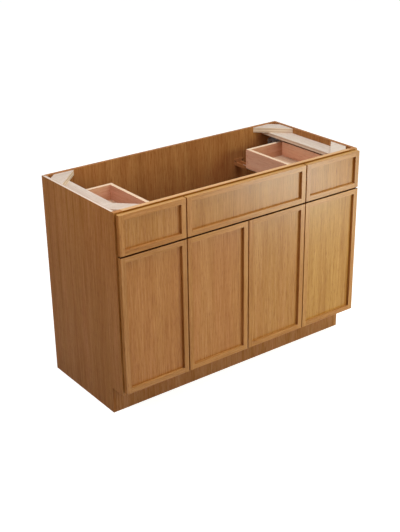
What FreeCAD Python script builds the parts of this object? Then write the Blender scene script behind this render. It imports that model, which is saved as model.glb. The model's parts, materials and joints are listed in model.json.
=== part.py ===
import FreeCAD, Part
import math
import os

# A framed vanity base cabinet with no top: two drawers and a fixed false front above four doors.
# Millimetres. X runs along the front, +Y goes to the wall, +Z is up.
# The origin is on the floor, under the middle of the cabinet with its fronts on.

# The case
case_width = 1219.2
case_depth = 533.4
case_height = 876.3
toe_height = 114.3
toe_depth = 76.2
side_thickness = 12.7
back_thickness = 12.7
deck_thickness = 12.7
toe_board_thickness = 12.7
dado_depth = 6.35
rabbet_depth = 6.35

# The face frame
frame_thickness = 19.05
end_stile_width = 38.1
mullion_width = 88.9
top_rail_height = 38.1
mid_rail_height = 38.1
bottom_rail_height = 38.1
frame_tenon_length = 12.0
frame_tenon_thickness = 7.0
frame_tenon_shoulder = 5.0

# The strips and blocks that carry the worktop
strip_width = 76.2
strip_thickness = 15.875
block_leg = 127.0
block_cut_leg = 36.0
block_thickness = 22.225
block_drop = 3.175

# Steel angles in the rear corners
angle_leg = 40.0
angle_height = 40.0
angle_gauge = 2.0
angle_drop = 70.0

# The fronts
front_thickness = 19.05
front_standoff = 3.0
side_reveal_width = 6.35
top_reveal_height = 6.35
bottom_reveal_height = 12.7
row_gap = 6.35
column_gap = 4.76
upper_front_height = 160.8
member_width = 21.3
panel_recess = 10.5
front_panel_thickness = 6.0
panel_groove_depth = 5.0
panel_float = 0.5
panel_fit = 0.1
field_float = 0.5
edge_round = 1.2
columns = 4

# Bumpers between the fronts and the face frame
bumper_radius = 4.0
bumper_sides = 8
bumper_inset = 12.0
bumper_air = 0.3

# Hinges for a narrow door frame
hinge_edge_distance = 95.0
hinges_per_door = 2
cup_setback = 3.0
cup_width = 12.8
cup_height = 46.0
cup_depth = 11.0
cup_wall = 1.2
cup_ear_height = 9.0
cup_ear_thickness = 0.8
arm_gauge = 1.6
arm_height = 12.0
arm_nose_setback = 14.8
arm_air = 0.7
plate_gauge = 1.5
plate_height = 52.0
plate_depth = 15.0
plate_screw_spacing = 32.0

# Clips behind the false front
clip_width = 16.0
clip_gauge = 2.0
clip_leg = 18.0
clip_screw_inset = 7.0
clip_spacing = 360.0

# Pan-head screws, drawn with flats instead of threads
screw_radius = 1.9
screw_sides = 6
screw_head_sides = 8
screw_head_radius = 3.0
screw_head_height = 1.4
screw_length = 10.0
short_screw_length = 6.5
front_screw_bite = 5.5
front_screw_inset = 45.0

# The drawer boxes
box_drop = 60.0
box_height = 86.5
box_rear_space = 92.9
box_wall = 15.875
box_side_clearance = 4.76
box_bottom_recess = 15.9
box_bottom_thickness = 6.35
box_groove_depth = 6.0
box_bottom_float = 0.4
tails = 3
tail_end_share = 0.74
tail_root_share = 0.54
box_edge_round = 1.2

# The undermount slides
slide_inset = 1.5
slide_width = 28.0
slide_gauge = 1.5
slide_channel_height = 14.0
slide_lip = 5.0
slide_stack_height = 28.7
slide_front_air = 1.0
hat_wall_inset = 6.5
hat_flange_inset = 2.8
glide_play = 0.3
slide_rear_space = 49.6
middle_member_share = 0.9
glide_share = 0.36
slide_notch_air = 3.0
tab_inset = 4.0
tab_overlap = 5.0
latch_width = 26.0
latch_length = 48.0
latch_thickness = 10.0
latch_chamfer = 3.0
bracket_wall = 2.5
bracket_fit = 0.3
bracket_overlap = 24.0
bracket_flange_height = 30.0
bracket_flange_margin = 8.0
bracket_screw_drop = 8.0

# One overrun serves every cut
overrun = 5.0

# Planes that the pieces share
overall_depth = front_thickness + front_standoff + case_depth
half_width = case_width / 2
front_y = -overall_depth / 2
front_back_y = front_y + front_thickness
frame_y = front_back_y + front_standoff
frame_back_y = frame_y + frame_thickness
case_back_y = overall_depth / 2
back_panel_y = case_back_y - back_thickness
toe_y = frame_y + toe_depth
side_inner_x = half_width - side_thickness
stile_inner_x = half_width - end_stile_width
top_rail_bottom_z = case_height - top_rail_height
bottom_rail_top_z = toe_height + bottom_rail_height
deck_bottom_z = bottom_rail_top_z - deck_thickness
strip_top_z = case_height - block_drop - block_thickness
upper_top_z = case_height - top_reveal_height
upper_bottom_z = upper_top_z - upper_front_height
door_top_z = upper_bottom_z - row_gap
door_bottom_z = toe_height + bottom_reveal_height
column_width = (case_width - 2 * side_reveal_width - (columns - 1) * column_gap) / columns
panel_y = front_y + panel_recess
panel_back_y = panel_y + front_panel_thickness
box_top_z = case_height - box_drop
box_bottom_z = box_top_z - box_height
box_floor_z = box_bottom_z + box_bottom_recess
mid_rail_top_z = box_floor_z - slide_stack_height
mid_rail_bottom_z = mid_rail_top_z - mid_rail_height
box_front_y = front_back_y
box_inner_front_y = box_front_y + box_wall
box_back_y = back_panel_y - box_rear_space
box_inner_back_y = box_back_y - box_wall


def column_left(index):
    """The left edge of a column of fronts, counted from the left."""
    return -half_width + side_reveal_width + index * (column_width + column_gap)


def column_right(index):
    return column_left(index) + column_width


mullion_x = column_right(columns - 2) + column_gap / 2
mullion_inner_x = mullion_x - mullion_width / 2
mullion_outer_x = mullion_x + mullion_width / 2
box_left_x = mullion_outer_x + box_side_clearance
box_right_x = stile_inner_x - box_side_clearance
box_inner_left_x = box_left_x + box_wall
box_inner_right_x = box_right_x - box_wall
slide_left_x = box_inner_left_x + slide_inset
slide_right_x = box_inner_right_x - slide_inset
slide_front_y = box_inner_front_y + slide_front_air
slide_back_y = back_panel_y - slide_rear_space
middle_back_y = slide_front_y + (slide_back_y - slide_front_y) * middle_member_share
glide_length = (middle_back_y - slide_front_y) * glide_share


def block(x, y, z):
    """A box from three pairs of limits."""
    corner = FreeCAD.Vector(x[0], y[0], z[0])
    return Part.makeBox(x[1] - x[0], y[1] - y[0], z[1] - z[0], corner)


def prism(points, direction):
    """A flat outline pushed along a direction."""
    outline = Part.makePolygon([FreeCAD.Vector(*p) for p in points + points[:1]])
    return Part.Face(outline).extrude(FreeCAD.Vector(*direction))


def rod(radius, sides, base, direction):
    """A many-sided bar. It stands for a small round one, whose mesh would be heavy."""
    start = FreeCAD.Vector(*base)
    length = FreeCAD.Vector(*direction)
    turn = FreeCAD.Rotation(FreeCAD.Vector(0, 0, 1), length)
    corners = []
    for i in range(sides):
        angle = 2 * math.pi * i / sides
        spoke = FreeCAD.Vector(radius * math.cos(angle), radius * math.sin(angle), 0)
        corners.append(start + turn.multVec(spoke))
    return Part.Face(Part.makePolygon(corners + corners[:1])).extrude(length)


def flip(shape):
    """The same piece on the other side of the middle plane."""
    return shape.mirror(FreeCAD.Vector(), FreeCAD.Vector(1, 0, 0))


def round_edges(shape, radius, wanted):
    """Round each straight edge whose two ends both pass the test."""
    edges = []
    for edge in shape.Edges:
        if len(edge.Vertexes) == 2 and wanted(edge.Vertexes[0].Point, edge.Vertexes[1].Point):
            edges.append(edge)
    return shape.makeFillet(radius, edges)


def same(a, b):
    return abs(a - b) < panel_fit / 2


def shank(place, back, length):
    """The straight part of a screw, from a little behind its seat to its tip."""
    seat, into = place
    base = [a - back * part for a, part in zip(seat, into)]
    return rod(screw_radius, screw_sides, base, [(back + length) * part for part in into])


def screw(place, length):
    """A pan-head screw. place is the point under the head and the direction it was driven."""
    seat, into = place
    head = rod(screw_head_radius, screw_head_sides, seat, [-screw_head_height * part for part in into])
    return head.fuse(shank(place, 0, length))


def screws(places, length):
    return [screw(place, length) for place in places]


def drill(shape, places):
    """Holes right through thin metal at the given screw places."""
    return shape.cut([shank(place, overrun, overrun) for place in places])


def cut_all(shape, tools):
    """Cut every tool that lies near the shape."""
    near = [tool for tool in tools if shape.BoundBox.intersect(tool.BoundBox)]
    return shape.cut(near) if near else shape


def flip_place(place):
    (x, y, z), (dx, dy, dz) = place
    return (-x, y, z), (-dx, dy, dz)


def save(name, *shapes):
    """Write one node. Several solids in a node stay separate solids."""
    shape = shapes[0] if len(shapes) == 1 else Part.makeCompound(list(shapes))
    shape.exportStep("parts/" + name + ".step")
    print(name, len(shape.Solids), round(shape.Volume))


# The case: two sides, back, deck and toe board

def side_panel():
    """The right side: toe notch in front, a dado for the deck, a rabbet for the back."""
    outline = [
        (side_inner_x, toe_y, 0),
        (side_inner_x, case_back_y, 0),
        (side_inner_x, case_back_y, case_height),
        (side_inner_x, frame_back_y, case_height),
        (side_inner_x, frame_back_y, toe_height),
        (side_inner_x, toe_y, toe_height),
    ]
    panel = prism(outline, (side_thickness, 0, 0))
    dado_x = (side_inner_x - overrun, side_inner_x + dado_depth)
    dado_y = (frame_back_y - overrun, back_panel_y)
    panel = panel.cut(block(dado_x, dado_y, (deck_bottom_z, bottom_rail_top_z)))
    rabbet_x = (side_inner_x - overrun, side_inner_x + rabbet_depth)
    rabbet_y = (back_panel_y, case_back_y + overrun)
    return panel.cut(block(rabbet_x, rabbet_y, (toe_height, case_height + overrun)))


def back_panel():
    reach = side_inner_x + rabbet_depth
    return block((-reach, reach), (back_panel_y, case_back_y), (toe_height, case_height))


def deck_panel():
    reach = side_inner_x + dado_depth
    return block((-reach, reach), (frame_back_y, back_panel_y), (deck_bottom_z, bottom_rail_top_z))


def toe_board():
    depth = (toe_y, toe_y + toe_board_thickness)
    return block((-side_inner_x, side_inner_x), depth, (0, deck_bottom_z))


# The face frame: stub tenons on the rails and mullions sit in mortises

tenon_y = (frame_y + (frame_thickness - frame_tenon_thickness) / 2,
           frame_y + (frame_thickness + frame_tenon_thickness) / 2)


def tenon(x, z):
    return block(x, tenon_y, z)


def rail_tenons(x, z):
    """A stub at each end of a rail that spans x and stands between z[0] and z[1]."""
    heights = (z[0] + frame_tenon_shoulder, z[1] - frame_tenon_shoulder)
    return [tenon((x[0] - frame_tenon_length, x[0]), heights),
            tenon((x[1], x[1] + frame_tenon_length), heights)]


def mullion_tenons(x, z):
    widths = (x[0] + frame_tenon_shoulder, x[1] - frame_tenon_shoulder)
    return [tenon(widths, (z[0] - frame_tenon_length, z[0])),
            tenon(widths, (z[1], z[1] + frame_tenon_length))]


rail_span_x = (-stile_inner_x, stile_inner_x)
top_rail_z = (top_rail_bottom_z, case_height)
bottom_rail_z = (toe_height, bottom_rail_top_z)
mid_rail_z = (mid_rail_bottom_z, mid_rail_top_z)
mullion_z = (bottom_rail_top_z, top_rail_bottom_z)
right_mullion_x = (mullion_inner_x, mullion_outer_x)
right_bay_x = (mullion_outer_x, stile_inner_x)
centre_bay_x = (-mullion_inner_x, mullion_inner_x)
frame_depth_y = (frame_y, frame_back_y)


def with_tenons(body, tenons):
    return body.multiFuse(tenons).removeSplitter()


def end_stile():
    body = block((stile_inner_x, half_width), frame_depth_y, (toe_height, case_height))
    for x, z in ((rail_span_x, top_rail_z), (rail_span_x, bottom_rail_z), (right_bay_x, mid_rail_z)):
        body = body.cut(rail_tenons(x, z)[1])
    return body


def mullion():
    body = block(right_mullion_x, frame_depth_y, mullion_z)
    body = with_tenons(body, mullion_tenons(right_mullion_x, mullion_z))
    body = body.cut(rail_tenons(right_bay_x, mid_rail_z)[0])
    return body.cut(rail_tenons(centre_bay_x, mid_rail_z)[1])


def long_rail(z, mullion_side):
    """The top or bottom rail, with mortises for both mullions."""
    body = block(rail_span_x, frame_depth_y, z)
    body = with_tenons(body, rail_tenons(rail_span_x, z))
    mortise = mullion_tenons(right_mullion_x, mullion_z)[mullion_side]
    return body.cut(mortise).cut(flip(mortise))


def mid_rail(x):
    return with_tenons(block(x, frame_depth_y, mid_rail_z), rail_tenons(x, mid_rail_z))


# Strips along both sides, with a block in each corner on top of them

def top_strip():
    x = (side_inner_x - strip_width, side_inner_x)
    return block(x, (frame_back_y, back_panel_y), (strip_top_z - strip_thickness, strip_top_z))


def corner_block(corner_y, into):
    """A right-angled triangle with its square corner cut off."""
    x = side_inner_x
    outline = [
        (x - block_cut_leg, corner_y, strip_top_z),
        (x - block_leg, corner_y, strip_top_z),
        (x, corner_y + into * block_leg, strip_top_z),
        (x, corner_y + into * block_cut_leg, strip_top_z),
    ]
    return prism(outline, (0, 0, block_thickness))


def corner_angle():
    """A bent steel angle that ties the side to the back."""
    x = side_inner_x
    y = back_panel_y
    top = case_height - angle_drop
    outline = [
        (x, y, top - angle_height),
        (x - angle_leg, y, top - angle_height),
        (x - angle_leg, y - angle_gauge, top - angle_height),
        (x - angle_gauge, y - angle_gauge, top - angle_height),
        (x - angle_gauge, y - angle_leg, top - angle_height),
        (x, y - angle_leg, top - angle_height),
    ]
    angle = prism(outline, (0, 0, angle_height))
    return drill(angle, angle_screws())


def angle_screws():
    """One screw through each leg of the right-hand angle."""
    z = case_height - angle_drop - angle_height / 2
    middle = (angle_leg + angle_gauge) / 2
    return [((side_inner_x - middle, back_panel_y - angle_gauge, z), (0, 1, 0)),
            ((side_inner_x - angle_gauge, back_panel_y - middle, z), (1, 0, 0))]


# A front: two stiles, two rails and a flat panel in a groove

groove_y = (panel_y - panel_fit, panel_back_y + panel_fit)


def front_member(x, z):
    return block(x, (front_y, front_back_y), z)


def front_stile(x, z, inner):
    """x is the stile's width, inner the side on which the panel lies."""
    body = front_member(x, z)
    edge = x[inner]
    inward = panel_groove_depth if inner == 0 else -panel_groove_depth
    outward = -overrun if inner == 0 else overrun
    groove_x = sorted((edge + outward, edge + inward))
    body = body.cut(block(groove_x, groove_y, (z[0] - overrun, z[1] + overrun)))
    def on_face(a, b):
        face = same(a.y, front_y) and same(b.y, front_y)
        return face and not (same(a.x, edge) and same(b.x, edge))
    return round_edges(body, edge_round, on_face)


def front_rail(x, z, inner):
    """A rail between the stiles, with stub tenons in their grooves."""
    body = front_member(x, z)
    for end in ((x[0] - panel_groove_depth, x[0]), (x[1], x[1] + panel_groove_depth)):
        body = body.fuse(block(end, groove_y, z))
    edge = z[inner]
    inward = panel_groove_depth if inner == 0 else -panel_groove_depth
    outward = -overrun if inner == 0 else overrun
    groove_z = sorted((edge + outward, edge + inward))
    ends = (x[0] - panel_groove_depth - overrun, x[1] + panel_groove_depth + overrun)
    body = body.cut(block(ends, groove_y, groove_z))
    outer = z[1 - inner]
    def on_outer(a, b):
        face = same(a.y, front_y) and same(b.y, front_y)
        return face and same(a.z, outer) and same(b.z, outer)
    return round_edges(body, edge_round, on_outer)


def framed_front(x, z, flush_back=False):
    """Returns the two stiles, the two rails and the panel, thin or flush with the back."""
    inner_x = (x[0] + member_width, x[1] - member_width)
    inner_z = (z[0] + member_width, z[1] - member_width)
    stiles = [front_stile((x[0], inner_x[0]), z, 1), front_stile((inner_x[1], x[1]), z, 0)]
    rails = [front_rail(inner_x, (z[0], inner_z[0]), 1), front_rail(inner_x, (inner_z[1], z[1]), 0)]
    reach = panel_groove_depth - panel_float
    panel = block((inner_x[0] - reach, inner_x[1] + reach), (panel_y, panel_back_y),
                  (inner_z[0] - reach, inner_z[1] + reach))
    if flush_back:
        field = block((inner_x[0] + field_float, inner_x[1] - field_float), (panel_back_y, front_back_y),
                      (inner_z[0] + field_float, inner_z[1] - field_float))
        panel = panel.fuse(field)
    return stiles, rails, panel


def bumper(x, z):
    """A soft pad on the face frame, just short of the front's back face."""
    return rod(bumper_radius, bumper_sides, (x, frame_y, z), (0, bumper_air - front_standoff, 0))


# Hinges: a slim cup in the door's stile and a bent arm on the face frame.
# They are built for a door hung on its left edge. s is the distance from that edge.

def cup_block(edge_x, toward, z, shrink, lift):
    """The cup's outer body, or with shrink its hollow."""
    near = edge_x + toward * (cup_setback + shrink)
    far = edge_x + toward * (cup_setback + cup_width - shrink)
    heights = (z - cup_height / 2 + shrink, z + cup_height / 2 - shrink)
    return block(sorted((near, far)), (front_back_y - cup_depth + shrink, front_back_y + lift), heights)


def cup_screws(edge_x, toward, z):
    x = edge_x + toward * (cup_setback + cup_width / 2)
    offset = (cup_height + cup_ear_height) / 2
    y = front_back_y + cup_ear_thickness
    return [((x, y, z - offset), (0, -1, 0)), ((x, y, z + offset), (0, -1, 0))]


def hinge_cup(edge_x, toward, z):
    """A cup with an ear above and below it. Its long rims stay flush, so the arm can pass over."""
    near = edge_x + toward * cup_setback
    far = edge_x + toward * (cup_setback + cup_width)
    inner = cup_height / 2 - cup_wall
    outer = cup_height / 2 + cup_ear_height
    ear_y = (front_back_y, front_back_y + cup_ear_thickness)
    cup = cup_block(edge_x, toward, z, 0, 0).cut(cup_block(edge_x, toward, z, cup_wall, overrun))
    for heights in ((z - outer, z - inner), (z + inner, z + outer)):
        ear = block(sorted((near, far)), ear_y, heights)
        cup = cup.fuse(drill(ear, cup_screws(edge_x, toward, z)))
    return cup.removeSplitter()


def plate_screws(edge_x, toward, z, overlay):
    x = edge_x + toward * (overlay + plate_gauge)
    y = frame_y + frame_thickness / 2
    offset = plate_screw_spacing / 2
    return [((x, y, z - offset), (-toward, 0, 0)), ((x, y, z + offset), (-toward, 0, 0))]


def hinge_arm(edge_x, toward, z, overlay):
    """A plate on the frame's inner edge and an arm that turns out over the frame's face."""
    nose = edge_x + toward * arm_nose_setback
    inner = edge_x + toward * overlay
    far = inner + toward * arm_gauge
    arm_front = front_back_y + arm_air
    heights = (z - arm_height / 2, z + arm_height / 2)
    plate_y = (frame_y + (frame_thickness - plate_depth) / 2, frame_y + (frame_thickness + plate_depth) / 2)
    front_leg = block(sorted((nose, far)), (arm_front, arm_front + arm_gauge), heights)
    side_leg = block(sorted((inner, far)), (arm_front, plate_y[1]), heights)
    plate_x = sorted((inner, inner + toward * plate_gauge))
    plate = block(plate_x, plate_y, (z - plate_height / 2, z + plate_height / 2))
    plate = drill(plate, plate_screws(edge_x, toward, z, overlay))
    return front_leg.fuse(side_leg).fuse(plate).removeSplitter()


def hinge_heights():
    first = door_bottom_z + hinge_edge_distance
    last = door_top_z - hinge_edge_distance
    step = (last - first) / (hinges_per_door - 1)
    return [first + step * i for i in range(hinges_per_door)]


# The drawer box, right-hand one. Tails on the sides lock into the front and back.

def tail_prisms(outer_y, inner_y, x):
    """The tails at one end of a side board: wide at outer_y, narrow at inner_y.
    The lowest one runs square down to the board's edge, so the notched back has no loose pin."""
    pitch = box_height / tails
    prisms = []
    for i in range(tails):
        middle = box_bottom_z + pitch * (i + 0.5)
        end = pitch * tail_end_share / 2
        root = pitch * tail_root_share / 2
        outline = [
            (x[0], outer_y, box_bottom_z if i == 0 else middle - end),
            (x[0], outer_y, middle + end),
            (x[0], inner_y, middle + root),
            (x[0], inner_y, box_bottom_z if i == 0 else middle - root),
        ]
        prisms.append(prism(outline, (x[1] - x[0], 0, 0)))
    return prisms


left_wall_x = (box_left_x, box_inner_left_x)
right_wall_x = (box_inner_right_x, box_right_x)
box_inner_y = (box_inner_front_y, box_inner_back_y)
box_z = (box_bottom_z, box_top_z)
groove_z = (box_floor_z, box_floor_z + box_bottom_thickness)


def box_side(x, inner):
    board = block(x, box_inner_y, box_z)
    tails_here = tail_prisms(box_front_y, box_inner_front_y, x) + tail_prisms(box_back_y, box_inner_back_y, x)
    board = board.multiFuse(tails_here).removeSplitter()
    edge = x[inner]
    inward = box_groove_depth if inner == 0 else -box_groove_depth
    board = board.cut(block(sorted((edge, edge + inward)), box_inner_y, groove_z))
    def on_top(a, b):
        along = same(a.x, b.x) and same(a.z, box_top_z) and same(b.z, box_top_z)
        return along and abs(a.y - b.y) > box_wall * 2
    return round_edges(board, box_edge_round, on_top)


def box_end(y, inner):
    """The front or back board, cut by the tails of both sides."""
    board = block((box_left_x, box_right_x), y, box_z)
    outer_y = y[1 - inner]
    inner_y = y[inner]
    for wall in (left_wall_x, right_wall_x):
        for cutter in tail_prisms(outer_y, inner_y, wall):
            board = board.cut(cutter)
    inward = box_groove_depth if inner == 0 else -box_groove_depth
    groove_depth_y = sorted((inner_y, inner_y + inward))
    return board.cut(block((box_inner_left_x, box_inner_right_x), groove_depth_y, groove_z))


def box_back():
    """The back board is notched at both lower corners so that it clears the slides."""
    board = box_end((box_inner_back_y, box_back_y), 0)
    notch = slide_inset + slide_width + slide_notch_air
    depth = (box_inner_back_y - overrun, box_back_y + overrun)
    heights = (box_bottom_z - overrun, box_floor_z)
    board = board.cut(block((box_inner_left_x, box_inner_left_x + notch), depth, heights))
    return board.cut(block((box_inner_right_x - notch, box_inner_right_x), depth, heights))


def box_bottom():
    reach = box_groove_depth - box_bottom_float
    wide = block((box_inner_left_x - reach, box_inner_right_x + reach), box_inner_y, groove_z)
    deep_y = (box_inner_front_y - reach, box_inner_back_y + reach)
    deep = block((box_inner_left_x, box_inner_right_x), deep_y, groove_z)
    return wide.fuse(deep).removeSplitter()


# The slides. Profiles are drawn across the slide, s from its outer edge and up from its foot.

def channel_outline(flip_height):
    """A lipped channel, open upwards, or downwards when it is turned over."""
    w = slide_width
    h = slide_channel_height
    g = slide_gauge
    lip = slide_lip
    points = [(0, 0), (w, 0), (w, h), (w - lip, h), (w - lip, h - g), (w - g, h - g),
              (w - g, g), (g, g), (g, h - g), (lip, h - g), (lip, h), (0, h)]
    if flip_height:
        points = [(s, slide_stack_height - z) for s, z in points]
    return points


def hat_outline(turned):
    """A hat section: its flanges run inside one channel, its crown meets the other hat."""
    flange = slide_channel_height / 2
    low = flange - slide_gauge / 2
    crown = slide_stack_height / 2
    w = slide_width
    g = slide_gauge
    wall = hat_wall_inset
    brim = hat_flange_inset
    points = [(brim, low), (wall + g, low), (wall + g, crown - g), (w - wall - g, crown - g),
              (w - wall - g, low), (w - brim, low), (w - brim, low + g), (w - wall, low + g),
              (w - wall, crown), (wall, crown), (wall, low + g), (brim, low + g)]
    if turned:
        points = [(s, slide_stack_height - z) for s, z in points]
    return points


def along_slide(outline, y):
    points = [(slide_left_x + s, y[0], mid_rail_top_z + z) for s, z in outline]
    return prism(points, (0, y[1] - y[0], 0))


def other_slide(shape):
    """The same member under the box's other side."""
    centre = FreeCAD.Vector((box_left_x + box_right_x) / 2, 0, 0)
    return shape.mirror(centre, FreeCAD.Vector(1, 0, 0))


def ear_screws():
    """The screw through the ear into the edge of the mullion."""
    y = (frame_y + tab_inset + slide_front_y + tab_overlap) / 2
    return [((mullion_outer_x + slide_gauge, y, mid_rail_top_z + slide_channel_height / 2), (-1, 0, 0))]


def cabinet_member():
    """The fixed channel, with a tab and an ear that reach the frame's edge beside the drawer."""
    channel = along_slide(channel_outline(False), (slide_front_y, slide_back_y))
    foot = mid_rail_top_z
    depth = (frame_y + tab_inset, slide_front_y + tab_overlap)
    tab = block((mullion_outer_x, slide_left_x + slide_width), depth, (foot, foot + slide_gauge))
    ear = block((mullion_outer_x, mullion_outer_x + slide_gauge), depth, (foot, foot + slide_channel_height))
    ear = drill(ear, ear_screws())
    return channel.fuse(tab).fuse(ear).removeSplitter()


def middle_member():
    """Two hats back to back, a length shorter than the fixed channel."""
    y = (slide_front_y, middle_back_y)
    return along_slide(hat_outline(False), y).fuse(along_slide(hat_outline(True), y))


def glides():
    """Nylon strips on the middle member's flanges: the upper pair in front, the lower pair behind.
    Each stays inside its channel over the whole travel."""
    member = middle_member()
    low = slide_gauge + glide_play
    high = slide_channel_height - slide_gauge - glide_play
    upper_y = (slide_front_y, slide_front_y + glide_length)
    lower_y = (middle_back_y - glide_length, middle_back_y)
    high_z = (slide_stack_height - high, slide_stack_height - low)
    strips = []
    for y, z in ((upper_y, high_z), (lower_y, (low, high))):
        heights = (mid_rail_top_z + z[0], mid_rail_top_z + z[1])
        for s in ((low, hat_wall_inset), (slide_width - hat_wall_inset, slide_width - low)):
            across = (slide_left_x + s[0], slide_left_x + s[1])
            strips.append(block(across, y, heights).cut(member))
    return strips


def drawer_member():
    return along_slide(channel_outline(True), (slide_front_y, box_back_y))


def bracket_screws():
    margin = bracket_wall + bracket_fit + bracket_flange_margin / 2
    y = back_panel_y - bracket_wall
    z = mid_rail_top_z - bracket_fit - bracket_wall + bracket_flange_height - bracket_screw_drop
    return [((slide_left_x - margin, y, z), (0, 1, 0)),
            ((slide_left_x + slide_width + margin, y, z), (0, 1, 0))]


def slide_bracket():
    """A socket for the tail of the fixed channel, with a flange on the back panel."""
    gap = bracket_fit
    wall = bracket_wall
    x = (slide_left_x - gap - wall, slide_left_x + slide_width + gap + wall)
    y = (slide_back_y - bracket_overlap, back_panel_y)
    z = (mid_rail_top_z - gap - wall, mid_rail_top_z + slide_channel_height)
    socket = block(x, y, z)
    hollow = block((x[0] + wall, x[1] - wall), (y[0] - overrun, y[1] - wall), (z[0] + wall, z[1] + overrun))
    socket = socket.cut(hollow)
    margin = bracket_flange_margin
    flange_z = (z[0], z[0] + bracket_flange_height)
    flange = block((x[0] - margin, x[1] + margin), (back_panel_y - wall, back_panel_y), flange_z)
    return socket.fuse(drill(flange, bracket_screws())).removeSplitter()


def latch():
    """A catch under the box's front corner that grips the drawer member."""
    x = (slide_left_x + slide_width, slide_left_x + slide_width + latch_width)
    y = (box_inner_front_y, box_inner_front_y + latch_length)
    body = block(x, y, (box_floor_z - latch_thickness, box_floor_z))
    lower = [edge for edge in body.Edges if same(edge.BoundBox.ZMax, box_floor_z - latch_thickness)]
    return body.makeChamfer(latch_chamfer, lower)


def clip_screws(x, z, up):
    """One screw goes into the false front's back, the other into the frame's edge."""
    front_place = ((x, front_back_y + clip_gauge, z + up * clip_screw_inset), (0, -1, 0))
    frame_place = ((x, frame_y + frame_thickness / 2, z + up * clip_gauge), (0, 0, -up))
    return [front_place, frame_place]


def false_front_clip(x, z, up):
    """An angle: one leg behind the false front, one along the frame's edge."""
    width = (x - clip_width / 2, x + clip_width / 2)
    upright = block(width, (front_back_y, front_back_y + clip_gauge), sorted((z, z + up * clip_leg)))
    flat = block(width, (front_back_y, frame_back_y), sorted((z, z + up * clip_gauge)))
    return drill(upright.fuse(flat).removeSplitter(), clip_screws(x, z, up))


def other_slide_place(place):
    (x, y, z), (dx, dy, dz) = place
    return (box_left_x + box_right_x - x, y, z), (-dx, dy, dz)


def front_screws():
    """Two screws from inside the box, through its front board into the drawer front."""
    z = (box_floor_z + box_bottom_thickness + box_top_z) / 2
    places = [((box_inner_left_x + front_screw_inset, box_inner_front_y, z), (0, -1, 0)),
              ((box_inner_right_x - front_screw_inset, box_inner_front_y, z), (0, -1, 0))]
    return screws(places, box_wall + front_screw_bite)


os.makedirs("parts", exist_ok=True)

# Where each screw goes, before the boards that it is driven into
clip_places = [(x, z, up) for x in (-clip_spacing / 2, clip_spacing / 2)
               for z, up in ((mid_rail_top_z, 1), (top_rail_bottom_z, -1))]
doors = []
for number in range(1, columns + 1):
    hung_left = number <= columns / 2
    edge = column_left(number - 1) if hung_left else column_right(number - 1)
    frame_edge = stile_inner_x if number in (1, columns) else mullion_inner_x
    doors.append((number, edge, 1 if hung_left else -1, abs(edge) - frame_edge))

static_places = angle_screws() + ear_screws() + bracket_screws()
static_places += [other_slide_place(place) for place in ear_screws() + bracket_screws()]
static_places += [flip_place(place) for place in static_places]
for number, edge, toward, overlay in doors:
    for height in hinge_heights():
        static_places += plate_screws(edge, toward, height, overlay)
clip_screw_solids = []
for x, z, up in clip_places:
    clip_screw_solids += screws(clip_screws(x, z, up), short_screw_length)
static_screws = screws(static_places, screw_length) + clip_screw_solids
save("fixing_screws", *static_screws)

right_side = cut_all(side_panel(), static_screws)
save("side_panels", flip(right_side), right_side)
save("back_panel", cut_all(back_panel(), static_screws))
save("deck_panel", deck_panel())
save("toe_board", toe_board())

right_stile = cut_all(end_stile(), static_screws)
right_mullion = cut_all(mullion(), static_screws)
right_mid_rail = mid_rail(right_bay_x)
save("frame_end_stiles", flip(right_stile), right_stile)
save("frame_mullions", flip(right_mullion), right_mullion)
save("frame_top_rail", cut_all(long_rail(top_rail_z, 1), static_screws))
save("frame_bottom_rail", long_rail(bottom_rail_z, 0))
save("frame_mid_rails", flip(right_mid_rail), cut_all(mid_rail(centre_bay_x), static_screws), right_mid_rail)

right_strip = top_strip()
save("top_strips", flip(right_strip), right_strip)
right_blocks = [corner_block(frame_back_y, 1), corner_block(back_panel_y, -1)]
save("corner_blocks", *([flip(b) for b in right_blocks] + right_blocks))
right_angle = corner_angle()
save("rear_corner_angles", flip(right_angle), right_angle)

upper_z = (upper_bottom_z, upper_top_z)
door_z = (door_bottom_z, door_top_z)
false_front_x = (column_left(1), column_right(columns - 2))
stiles, rails, panel = framed_front(false_front_x, upper_z, True)
save("false_front_stiles", *stiles)
save("false_front_rails", *[cut_all(rail, clip_screw_solids) for rail in rails])
save("false_front_panel", cut_all(panel, clip_screw_solids))
save("false_front_clips", *[false_front_clip(*place) for place in clip_places])

# Doors one and two hang on their left edges, doors three and four on their right edges
arms = []
bumpers = []
for number, edge, toward, overlay in doors:
    door_x = (column_left(number - 1), column_right(number - 1))
    stiles, rails, panel = framed_front(door_x, door_z)
    cups = []
    cup_screw_solids = []
    pockets = []
    for height in hinge_heights():
        pockets.append(cup_block(edge, toward, height, 0, overrun))
        cups.append(hinge_cup(edge, toward, height))
        cup_screw_solids += screws(cup_screws(edge, toward, height), screw_length)
        arms.append(hinge_arm(edge, toward, height, overlay))
    name = "door_" + str(number)
    save(name + "_stiles", *[cut_all(stile, pockets + cup_screw_solids) for stile in stiles])
    save(name + "_rails", *rails)
    save(name + "_panel", panel)
    save(name + "_hinge_cups", *(cups + cup_screw_solids))
    free = door_x[1] if toward > 0 else door_x[0]
    for height in (door_bottom_z + bumper_inset, door_top_z - bumper_inset):
        bumpers.append(bumper(free - toward * bumper_inset, height))
save("hinge_arms", *arms)
save("front_bumpers", *bumpers)

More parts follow.
